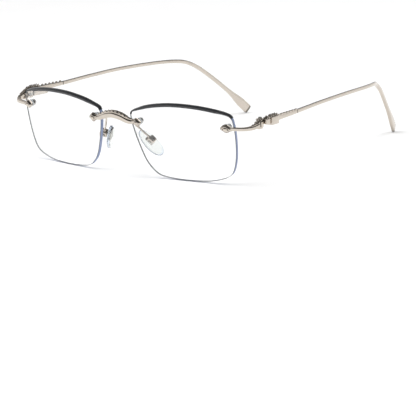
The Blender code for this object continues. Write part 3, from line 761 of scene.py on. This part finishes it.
# Each bar station: x, y, z, height above, height below, half depth, width of the sloping step.
BRIDGE_BAR = [
    (11.6, -1.2, 25.3, 0.95, 0.85, 0.6, 0.4), (9.9, -1.32, 25.35, 1.2, 1.1, 0.8, 0.5),
    (8.4, -1.5, 25.6, 1.3, 1.25, 1.0, 0.45), (6.6, -1.6, 26.2, 1.35, 1.35, 1.2, 0.38),
    (4.6, -1.75, 26.95, 1.4, 1.4, 1.4, 0.4), (2.3, -1.85, 27.4, 1.45, 1.4, 1.55, 0.4),
    (0.0, -1.9, 27.6, 1.5, 1.4, 1.6, 0.4),
]


BAR_CORNERS, BAR_TOP = 15, 8  # points in a bar's ring, and the one that its top face starts from


def bar(rows, lean_at):
    """A bar's rings, one for each station, leaning by what lean_at gives for their x."""
    rings = []
    for i, (x, y, z, up, down, depth, step) in enumerate(rows):
        before, after = rows[max(i - 1, 0)], rows[min(i + 1, len(rows) - 1)]
        ahead = Vector(after[:3]) - Vector(before[:3])
        rings.append(bar_ring((x, y, z), ahead, lean_at(x), up, down, depth, step))
    return rings


def make_bridge():
    """The arched bar, a ridge, beads and a crest on its top, and a spearhead at each end."""
    shape = Shape()
    rows = smooth_rows(BRIDGE_BAR + [(-r[0], *r[1:]) for r in reversed(BRIDGE_BAR[:-1])], 5)
    shape.loft(bar(rows, lambda x: LEAN * min(1.0, abs(x) / 9.6)))
    # Painted shade: the bar's top faces take the dark plating, which shades the gaps between the
    # beads.
    for i, face in enumerate(shape.mesh.faces):
        if i % BAR_CORNERS == BAR_TOP:
            face.material_index = SHADE_SLOT
    tops = [(x, y, z + up, half) for x, y, z, up, _, half, _ in rows]
    shape.tube([Vector((x, y + half * 0.42, z)) for x, y, z, half in tops if abs(x) < 8], 0.45)
    carving = [Vector((x, y - half * 0.3, z + 0.18)) for x, y, z, half in tops if abs(x) < 9]
    shape.beads(smooth_line(carving, 6), (0.55, 1.0), 2.1, 0.45)
    shape.bead((0, -1.2, 28.85), (0.6, 2.7), (1, 0, 0), 12, 20)
    for sign in (1, -1):
        half = Shape()
        spearhead(half, NASAL_HEAD, (13.0, 25.1), PLATE_THICKNESS)
        add_stud(half, "nasal")
        half.mesh.transform(Matrix.Diagonal((sign, 1, 1, 1)))
        part = finished(half.mesh, "half")
        shape.mesh.from_mesh(part)
        bpy.data.meshes.remove(part)
    piece(
        shape, "bridge", "carved", "left", "front", [CHAMPAGNE, SHADE_PLATING],
        bevel=SOFT_EDGE,
    )


# Each arm station: as the bridge's. It runs from the spearhead round the corner to the hinge.
ARM = [
    (60.9, 6.0, 25.8, 0.75, 0.75, 0.55, 0.08), (63.4, 6.7, 25.85, 0.8, 0.8, 0.7, 0.08),
    (66.0, 7.45, 25.95, 0.8, 0.8, 0.75, 0.1), (68.3, 8.6, 26.15, 0.85, 0.85, 0.85, 0.18),
    (69.9, 10.3, 26.5, 0.95, 0.95, 0.9, 0.25), (70.3, 12.4, 26.95, 1.05, 1.05, 1.0, 0.3),
    (70.4, 14.6, 27.4, 1.4, 1.4, 1.2, 0.3),
]


def make_endpiece(side):
    """Spearhead, stud, curved arm with beads on it, carved knuckle and hinge fork."""
    shape = Shape()
    spearhead(shape, TEMPORAL_HEAD, (58.9, 25.8), PLATE_THICKNESS)
    add_stud(shape, "temporal")
    rows = smooth_rows(ARM, 5)
    shape.loft(bar(rows, lambda x: LEAN * max(0.0, min(1.0, (63 - x) / 2))))
    edge = [
        Vector((x, y - depth * 0.1, z + up * 0.98)) for x, y, z, up, _, depth, _ in rows if y > 9.6
    ]
    shape.beads(smooth_line(edge, 6), (0.4, 0.75), 1.3, 0.0, 0.6)
    add_knuckle(shape)
    add_fork(shape)
    piece(
        shape, f"{side}_endpiece", "carved", side, "front", [CHAMPAGNE, SHADE_PLATING],
        bevel=SOFT_EDGE,
    )


def add_knuckle(shape):
    """The arm's end: a body, an inset side plate with a seam painted dark as shade, a curl, beads and
    a rope.
    """
    shape.between((68.35, 13.6, 25.5), (71.45, 16.2, 28.7), 0.4)
    shape.between((71.1, 14.55, 26.3), (71.75, 16.2, 28.6), 0.12)
    # Painted shade: the top under the beads and the thin strips along the side plate's seam take the
    # dark plating.
    shape.between((68.7, 15.0, 28.3), (71.2, 16.2, 29.5), 0.3, 3, SHADE_SLOT)
    shape.between((71.4, 14.25, 26.4), (71.79, 14.55, 28.85), 0.05, 2, SHADE_SLOT)
    shape.between((71.4, 14.25, 28.6), (71.79, 16.15, 28.85), 0.05, 2, SHADE_SLOT)
    shape.scroll((70.1, 13.35, 27.6), Vector((1, 0, 0)), UP, 1.0, 1.4, 0.28)
    first, last = Vector((70.2, 12.5, 28.3)), Vector((70.6, 15.3, 29.7))
    for k in range(4):
        shape.bead(first.lerp(last, k / 3), (0.5, 0.42), (0.2, 0.8, 0.5))
    low, high = Vector((71.2, 12.6, 28.1)), Vector((71.2, 15.6, 29.7))
    shape.rope([low.lerp(high, k / 20) for k in range(21)], 0.4, 2.2)


EYELET_RADIUS, LUG_RADIUS, SCREW_RADIUS = 1.2, 1.25, 0.45
EYELET_HEIGHT, LUG_HEIGHT, SLOT_HALF_WIDTH = 1.0, 1.05, 0.12


def add_fork(shape):
    """The fork's two ears, each a bored disc on a web."""
    half = EYELET_HEIGHT / 2 + FIT
    for low in (HINGE.z + half, HINGE.z - half - LUG_HEIGHT):
        foot = Vector((HINGE.x, HINGE.y, low))
        add_ring(shape, foot, UP, LUG_RADIUS, SCREW_RADIUS + FIT, LUG_HEIGHT, 0.1, 40)
        web = Vector((HINGE.x - 0.8, 15.6, low + 0.03))
        shape.between(web, (HINGE.x + 1.2, HINGE.y - 0.6, low + LUG_HEIGHT - 0.03), 0.08)


def make_hinge_screw(side):
    """A turned screw with a domed, slotted head."""
    half = EYELET_HEIGHT / 2 + FIT + LUG_HEIGHT
    seat = HINGE + UP * (half + FIT)
    shape = Shape()
    bottom = -2 * half - FIT - 0.2
    profile = [(bottom, SCREW_RADIUS - 0.14), (bottom + 0.12, SCREW_RADIUS)]
    for k in range(6):
        thread = bottom + 0.2 + 0.2 * k
        profile += [(thread, SCREW_RADIUS - 0.07), (thread + 0.1, SCREW_RADIUS)]
    profile += [(0.05, SCREW_RADIUS), (0.05, 0.8), (0.12, 0.85), (0.3, 0.84), (0.36, 0.8)]
    shape.lathe(seat, UP, profile, 40)
    slot = Matrix.Translation(seat) @ Matrix.Rotation(radians(25), 4, "Z")
    for sign in (1, -1):
        add_segment(shape, slot, sign)
    piece(shape, f"{side}_hinge_screw", "slotted", side, "front", [STEEL])


def add_segment(shape, matrix, sign):
    """Half of a slotted screw head: a circle segment beside the slot, domed at its rim."""
    rings = []
    for z, r in ((0.33, 0.8), (0.44, 0.74), (0.5, 0.62)):
        start = asin(SLOT_HALF_WIDTH / r)
        angles = [start + (pi - 2 * start) * k / 14 for k in range(15)]
        rings.append([
            matrix @ Vector((r * cos(a), sign * r * sin(a), z)) for a in angles
        ])
    shape.loft(rings)


# ---------------- sprung temple hinge

HOUSING_X, HOUSING_Y, HOUSING_HALF_HEIGHT = (-1.1, 1.35), (19.2, 28.6), 1.2
HOUSING_SEAM = 22.25
POCKET, POCKET_END = 1.2, 27.3
GUIDE_END, PLUG_END, STOP_FACE = 21.85, 22.7, 26.3
ROD_START, ROD_LENGTH, ROD_RADIUS = 20.9, 5.6, 0.25
COIL_WIRE, COIL_TURNS, COIL_STEPS = 0.09, 6, 20
BLOCK_INNER_X = HINGE.x + 1.4


def make_slider(side, body):
    """The eyelet on the hinge screw, with the guide that runs in the housing."""
    x, z, half = HINGE.x, HINGE.z, EYELET_HEIGHT / 2
    shape = Shape()
    bore = SCREW_RADIUS + FIT
    add_ring(shape, HINGE - UP * half, UP, EYELET_RADIUS, bore, EYELET_HEIGHT, 0.1, 40)
    shape.between((x - half, HINGE.y + 0.75, z - half), (x + half, GUIDE_END, z + half), 0.1)
    rod = [(0, ROD_RADIUS), (ROD_LENGTH, ROD_RADIUS)]
    shape.lathe((x, ROD_START, z), (0, 1, 0), rod, 20)
    stop = [(0, 0.44), (0.08, 0.5), (0.6, 0.5), (0.7, 0.42)]
    shape.lathe((x, STOP_FACE, z), (0, 1, 0), stop, 24)
    node = f"{side}_hinge_slider"
    piece(shape, node, "eyelet", side, body, [STEEL], REST_FOLD_DEG[side])


def make_coil(side, body):
    """The coil round the slider's rod, from the plug to the slider's stop."""
    start = PLUG_END + COIL_WIRE + FIT
    length = STOP_FACE - FIT - COIL_WIRE - start
    radius = ROD_RADIUS + FIT + COIL_WIRE
    line = []
    for i in range(COIL_STEPS * COIL_TURNS + 1):
        angle, along = tau * i / COIL_STEPS, length * i / (COIL_STEPS * COIL_TURNS)
        x, z = radius * cos(angle), radius * sin(angle)
        line.append(Vector((HINGE.x + x, start + along, HINGE.z + z)))
    shape, node = Shape().tube(line, COIL_WIRE, 10), f"{side}_coil_spring"
    coil = piece(shape, node, "wire", side, body, [STEEL], REST_FOLD_DEG[side])
    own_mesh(coil)


def make_housing(side, body):
    """The spring box: rounded at the back, with a seam round it and a square pocket in it."""
    x, z, h = HINGE.x, HINGE.z, HOUSING_HALF_HEIGHT
    y0, y1 = HOUSING_Y[0], HOUSING_Y[1] - h
    lower = [
        (y0, -h + 0.18), (y0 + 0.18, -h), (HOUSING_SEAM - 0.15, -h), (HOUSING_SEAM, -h + 0.12),
        (HOUSING_SEAM + 0.15, -h), (y1, -h),
    ]
    turns = [pi * k / 16 for k in range(1, 16)]
    outline = lower + [(y1 + h * sin(a), -h * cos(a)) for a in turns]
    outline += [(y, -up) for y, up in reversed(lower)]
    low, high, r = x + HOUSING_X[0], x + HOUSING_X[1], 0.3
    sections = (low, r), (low + r * 0.3, r * 0.3), (low + r, 0), (high - 0.1, 0), (high, 0.1)
    rings = []
    for across, pull in sections:
        ring = []
        for y, up in outline:
            way = Vector((max(0.0, y - y1) + min(0.0, y - y0 - 0.3), up))
            if way.length:
                way.normalize()
            ring.append(Vector((across, y - way.x * pull, z + up - way.y * pull)))
        rings.append(ring)
    shape, node = Shape().loft(rings), f"{side}_spring_housing"
    turn = REST_FOLD_DEG[side]
    holder = piece(shape, node, "shell", side, body, [CHAMPAGNE], turn)
    half = POCKET / 2
    start, end = (x - half, y0 - 2, z - half), (x + half, POCKET_END, z + half)
    cut(holder, Shape().between(start, end, 0.02, 1), side)


def cut(obj, shape, side):
    """Takes a shape out of a placed piece of the temple for good."""
    cutter = placed("cutter", shape, side, REST_FOLD_DEG[side])
    modifier = obj.modifiers.new("cut", "BOOLEAN")
    modifier.operation, modifier.solver, modifier.object = "DIFFERENCE", "EXACT", cutter
    bpy.context.view_layer.update()
    graph = bpy.context.evaluated_depsgraph_get()
    result = bpy.data.meshes.new_from_object(obj.evaluated_get(graph))
    obj.modifiers.remove(modifier)
    obj.data = result
    bpy.data.objects.remove(cutter, do_unlink=True)


NECK_LENGTH = 19.5  # how far along the temple its carved neck runs, to a fine seam
SEAM_HALF_WIDTH, SEAM_DEPTH = 0.25, 0.1
TIP_ROUNDING = (0.35, 0.98), (0.65, 0.93), (0.9, 0.85), (1.05, 0.72), (1.1, 0.55)
TOP_ROWS = (1, 2, 3)  # which faces of a ring face upwards
# Where the painted dark reflection along the temple's top stops, and where it starts again near the
# tip.
REFLECTION_LINE_END, TIP_REFLECTION_START = 113.0, 143.5
TIP_CEILING = 8  # the tip is below this height, the temple's front end above it


def with_seam(line):
    """The line with four more points close to the neck's end."""
    run = 0.0
    for i, (a, b) in enumerate(zip(line, line[1:])):
        step = (b - a).length
        if run <= NECK_LENGTH < run + step:
            extra = [a.lerp(b, (NECK_LENGTH - run + d) / step) for d in (-0.3, -0.2, 0.2, 0.3)]
            return line[:i + 1] + extra + line[i + 1:]
        run += step
    return line


def make_temple(side, body):
    """End block, neck with beads along it, side bar, ear bend, and a tip whose end is painted dark as
    shade.
    """
    shape = Shape()
    line = with_seam(smooth_line(TEMPLE_PATH, 10))
    place, places, rings, tops = 0.0, [], [], []
    for i, point in enumerate(line):
        ahead = (line[min(i + 1, len(line) - 1)] - line[max(i - 1, 0)]).normalized()
        inner = Vector((-ahead.y, ahead.x, 0)).normalized()
        rise = ahead.cross(inner)
        if rise.z < 0:
            rise.negate()
        if i:
            place += (point - line[i - 1]).length
        height, thickness = table_row(TEMPLE_SECTIONS, place)
        h, t = height / 2, thickness / 2
        if abs(place - NECK_LENGTH) < SEAM_HALF_WIDTH:
            h, t = h - SEAM_DEPTH, t - SEAM_DEPTH
        places.append(place)
        rings.append(temple_ring(point, inner, rise, h, t))
        if 2.5 < place < NECK_LENGTH - 0.3:
            tops.append(point - inner * (t * 0.55) + rise * (h + 0.12))
    last, tip_start = rings[-1], places[-2]
    middle = sum(last, Vector()) / len(last)
    onward = (line[-1] - line[-2]).normalized()
    for grow, shrink in TIP_ROUNDING:
        rings.append([middle + (p - middle) * shrink + onward * grow for p in last])
        places.append(inf)
    shape.loft(rings)
    # Painted shade on the tip's end and in the seam's groove; a painted dark reflection on the top
    # faces outside the two limits.
    for i, face in enumerate(shape.mesh.faces):
        row, along = i % len(last), places[i // len(last)]
        at_tip = along > tip_start and face.calc_center_median().z < TIP_CEILING
        if at_tip or abs(along - NECK_LENGTH) < SEAM_HALF_WIDTH:
            face.material_index = SHADE_SLOT
        elif row in TOP_ROWS and (along < REFLECTION_LINE_END or along > TIP_REFLECTION_START):
            face.material_index = REFLECTION_SLOT
    shape.beads(smooth_line(tops, 4), (0.46, 1.0), 2.4, 0.35)
    add_block(shape)
    piece(
        shape, f"{side}_temple", "carved", side, body,
        [CHAMPAGNE, SHADE_PLATING, PAINTED_REFLECTION], REST_FOLD_DEG[side], bevel=SOFT_EDGE,
    )


def temple_ring(point, inner, rise, h, t):
    """A flat bar's section with rounded edges, a crowned outer face and a plain inner one."""
    c = min(0.32, t * 0.5)
    rows = [
        (t, h - c), (t - c * 0.3, h - c * 0.3), (t - c, h), (c - t, h), (c * 0.3 - t, h - c * 0.3),
        (-t, h - c), (-t - 0.02, 0), (-t, c - h), (c * 0.3 - t, c * 0.3 - h), (c - t, -h),
        (t - c, -h), (t - c * 0.3, c * 0.3 - h), (t, c - h), (t + 0.02, 0),
    ]
    return [point + inner * a + rise * b for a, b in rows]


def add_block(shape):
    """The temple's end block: two stepped parts with a seam, and a carved crest on top."""
    inner = BLOCK_INNER_X
    shape.between((inner, 19.7, 26.6), (73.5, 25.3, 30.1), 0.2)
    shape.between((inner, 16.45, 27.4), (73.0, 19.66, 29.6), 0.14)
    shape.between((inner + 0.1, 19.4, 27.2), (72.95, 20.0, 29.7), 0.1)
    # Painted shade: the strips under the crest's beads take the dark plating.
    shape.between((inner + 0.5, 17.2, 29.3), (72.3, 24.9, 30.3), 0.3, 3, SHADE_SLOT)
    shape.between((inner + 0.25, 19.9, 30.0), (73.15, 25.1, 30.2), 0.08, 2, SHADE_SLOT)
    for x, radius in ((72.5, 0.425), (71.3, 0.3825)):
        crest = [Vector((x, 19.6 + 0.1 * k, 30.5)) for k in range(56)]
        shape.beads(crest, (radius, 1.0), 1.4, 0.0, 1.0)
    backwards = Vector((0, 1, 0))
    shape.scroll((72.3, 18.3, 29.8), -backwards, UP, 1.15, 1.25, 0.4, -1)
    shape.scroll((71.3, 18.2, 30.0), backwards, UP, 0.85, 1.3, 0.3)


# ---------------- nose pads

def pad_matrix(centre):
    """x along the pad's length, y across it and z towards the nose."""
    return basis(centre, PAD_LONG, PAD_FACE)


def make_pad_arm(side):
    """The wire from behind the bridge's neck to the pad box, soldered at its root."""
    box_edge = BOX_CENTRE - PAD_LONG * (BOX_SIZE / 2 + 2 * FIT)
    route = [
        (8.0, -0.3, 25.3), (8.0, 1.3, 25.2), (8.5, 2.7, 24.2), (9.9, 4.0, 22.3),
        (11.7, 5.5, 20.0), box_edge - PAD_LONG * 0.7, box_edge + PAD_LONG * 0.12,
    ]
    shape = Shape().tube(smooth_line(route, 8), 0.45, 16)
    root = [(0, 0.95), (0.25, 0.9), (0.5, 0.66), (0.9, 0.5), (1.1, 0.44)]
    shape.lathe((8.0, -0.5, 25.3), (0, 1, 0), root, 24)
    collar = [(0, 0.46), (0.14, 0.62), (0.4, 0.7), (0.52, 0.66)]
    shape.lathe(box_edge - PAD_LONG * 0.5, PAD_LONG, collar, 24)
    piece(shape, f"{side}_pad_arm", "wire", side, "front", [CHAMPAGNE])


def make_pad_box(side):
    """A rounded box with a raised ring round each screw hole."""
    matrix = pad_matrix(BOX_CENTRE)
    shape = Shape().box(matrix, (BOX_SIZE, BOX_SIZE, BOX_SIZE), 0.62, 4)
    for sign in (1, -1):
        seat = BOX_CENTRE + PAD_SHORT * sign * (BOX_SIZE / 2 - 0.06)
        add_ring(shape, seat, PAD_SHORT * sign, 0.95, 0.42, 0.06, 0.02, 32)
    piece(shape, f"{side}_pad_box", "rounded", side, "front", [CHAMPAGNE])


def make_pad_screw(side):
    """A screw through the pad box, with a slotted head on one side of it."""
    start = BOX_CENTRE + PAD_SHORT * (BOX_SIZE / 2 + FIT)
    shape = Shape().lathe(start, PAD_SHORT, [
        (-BOX_SIZE - 0.02, 0.25), (-BOX_SIZE + 0.1, 0.35), (0, 0.35), (0, 0.7), (0.06, 0.75),
        (0.2, 0.74), (0.24, 0.7),
    ], 32)
    turned = basis(start - PAD_SHORT * 0.12, PAD_LONG + PAD_FACE * 0.6, PAD_SHORT)
    for sign in (1, -1):
        add_segment(shape, turned @ Matrix.Diagonal((0.88, 0.88, 0.94, 1)), sign)
    piece(shape, f"{side}_pad_screw", "slotted", side, "front", [STEEL])


def make_pad_insert(side, body):
    """The stem into the box and the plate within the pad, thicker at both its ends."""
    stem_tip = BOX_CENTRE - PAD_FACE * 0.7
    shape = Shape()
    height = (INSERT_CENTRE - stem_tip).length
    shape.box(pad_matrix((stem_tip + INSERT_CENTRE) / 2), (1.3, 1.1, height), 0.15)
    shape.box(pad_matrix(INSERT_CENTRE), (4.2, 2.4, 0.4), 0.15)
    for sign in (1, -1):
        shape.box(pad_matrix(INSERT_CENTRE + PAD_LONG * sign * 1.7), (0.5, 1.5, 0.52), 0.12)
    piece(shape, f"{side}_pad_insert", "plate", side, body, [STEEL])


def make_nose_pad(side, body):
    """A drop-shaped cushion of clear silicone with a soft rim and crowned faces."""
    count, rings = 56, []
    for k in range(1, 16):
        a = pi * k / 16 - pi / 2
        depth = copysign(abs(sin(a)) ** 0.75, a) * 0.5
        part = cos(a) ** 0.42
        ring = []
        for i in range(count):
            angle = tau * i / count
            narrow = 1 - 0.12 * cos(angle)
            along = cos(angle) * PAD_LENGTH / 2 * part
            across = sin(angle) * PAD_WIDTH / 2 * part / narrow * 0.94
            bow = -0.35 * (cos(angle) * part) ** 2
            spot = PAD_CENTRE + PAD_LONG * along + PAD_SHORT * across
            ring.append(spot + PAD_FACE * (depth * PAD_THICKNESS + bow * (0.5 - abs(depth))))
        rings.append(ring)
    shape = Shape().loft(rings)
    for face in shape.mesh.faces:
        middle = face.calc_center_median() - PAD_CENTRE
        if abs(middle.dot(PAD_FACE)) < PAD_THICKNESS * 0.34:
            face.material_index = RIM_SLOT
    materials = [SILICONE, PAD_RIM]
    piece(shape, f"{side}_nose_pad", "silicone", side, body, materials, sharp_deg=60)


# ---------------- assembly

make_bridge()
for side in SIDES:
    make_lens(side)
    make_brow_trim(side)
    for place in STUDS:
        make_lens_mount(side, place)
    make_endpiece(side)
    make_hinge_screw(side)
    make_slider(side, f"{side}_slider")
    make_coil(side, f"{side}_temple_arm")
    make_temple(side, f"{side}_temple_arm")
    make_housing(side, f"{side}_temple_arm")
    make_pad_arm(side)
    make_pad_box(side)
    make_pad_screw(side)
    make_pad_insert(side, f"{side}_pad")
    make_nose_pad(side, f"{side}_pad")
    plug = frame["nodes"][f"{side}_spring_plug"].data
    plug.materials.clear()
    plug.materials.append(STEEL)


# ---------------- studio

def make_floor():
    """A pale floor that fills the view."""
    work = bmesh.new()
    bmesh.ops.create_grid(work, x_segments=8, y_segments=8, size=6.0)
    mesh = finished(work, "studio_floor")
    material, nodes, links, shader = new_material("floor_paper")
    grain = noise(nodes, links, 40, 3)
    tone = blend_colours(nodes, links, remap(nodes, links, grain, 0, 1), (0.93,) * 3, (0.92,) * 3)
    links.new(tone, shader.inputs["Base Color"])
    shader.inputs["Roughness"].default_value = 0.9
    shader.inputs["Specular IOR Level"].default_value = 0.1
    mesh.materials.append(material)
    floor = add_object("studio_floor", mesh)
    floor.location.z = CAD_BOX[0].z - 0.0002


def soft_light(name, place, size, power):
    """A square lamp that points at the origin and isn't mirrored."""
    lamp = bpy.data.lights.new(name, "AREA")
    lamp.shape, lamp.size, lamp.energy = "SQUARE", size, power
    obj = add_object(name, lamp)
    obj.location = place
    obj.rotation_euler = (-Vector(place)).to_track_quat("-Z", "Y").to_euler()
    obj.visible_glossy = False


def make_world():
    """A bright horizon under a darker upper sky, which gives metal edges something dark to show."""
    world = bpy.data.worlds.new("studio")
    world.use_nodes = True
    nodes, links = world.node_tree.nodes, world.node_tree.links
    place = nodes.new("ShaderNodeTexCoord")
    split = nodes.new("ShaderNodeSeparateXYZ")
    links.new(place.outputs["Generated"], split.inputs["Vector"])
    skies = [
        grey_ramp(nodes, links, split.outputs["Z"], stops) for stops in (
            [(0.0, 1.0), (0.2, 1.0), (0.32, 0.07), (0.9, 0.06), (1.0, 0.2)],
            [(0.0, 1.0), (0.2, 1.0), (0.3, 0.42), (0.6, 0.36), (0.8, 0.07), (0.92, 0.06),
             (1.0, 0.2)],
        )
    ]
    behind = nodes.new("ShaderNodeVectorMath")
    behind.operation = "DOT_PRODUCT"
    behind.inputs[1].default_value = (-0.65, 0.76, 0)
    links.new(place.outputs["Generated"], behind.inputs[0])
    share = remap(nodes, links, behind.outputs["Value"], 0, 1, 0.0, 0.3)
    links.new(blend_colours(nodes, links, share, *skies), nodes["Background"].inputs["Color"])
    bpy.context.scene.world = world


def grey_ramp(nodes, links, value, stops):
    ramp = nodes.new("ShaderNodeValToRGB")
    links.new(value, ramp.inputs["Fac"])
    first, last = ramp.color_ramp.elements
    first.position, last.position = stops[0][0], stops[-1][0]
    first.color, last.color = (*(stops[0][1],) * 3, 1), (*(stops[-1][1],) * 3, 1)
    for where, grey in stops[1:-1]:
        ramp.color_ramp.elements.new(where).color = (grey, grey, grey, 1)
    return ramp.outputs["Color"]


def make_camera():
    """The photograph's view: above and to one side, through a long lens."""
    target = Vector((0, -0.0327, 0.017))
    azimuth, elevation, roll = (radians(deg) for deg in (40.9, 10.08, -1.34))
    level = Vector((sin(azimuth), -cos(azimuth), 0))
    back = level * cos(elevation) + UP * sin(elevation)
    right = Vector((cos(azimuth), sin(azimuth), 0))
    facing = Matrix((right, back.cross(right), back)).transposed()
    data = bpy.data.cameras.new("camera")
    data.sensor_width, data.lens = 36.0, 264.5
    aim = Vector((-25.5, 85.8, -3056)).rotation_difference(Vector((0, 0, -1))).to_matrix()
    camera = add_object("camera", data)
    turned = facing @ Matrix.Rotation(roll, 3, "Z") @ aim
    camera.matrix_world = Matrix.Translation(target + back * 1.401) @ turned.to_4x4()
    bpy.context.scene.camera = camera


make_floor()
make_world()
soft_light("key", (-0.5, -0.9, 1.3), 1.5, 19.2)
soft_light("top", (0.3, 0.5, 1.5), 1.8, 21.9)
make_camera()
bpy.context.scene.view_settings.view_transform = "Standard"
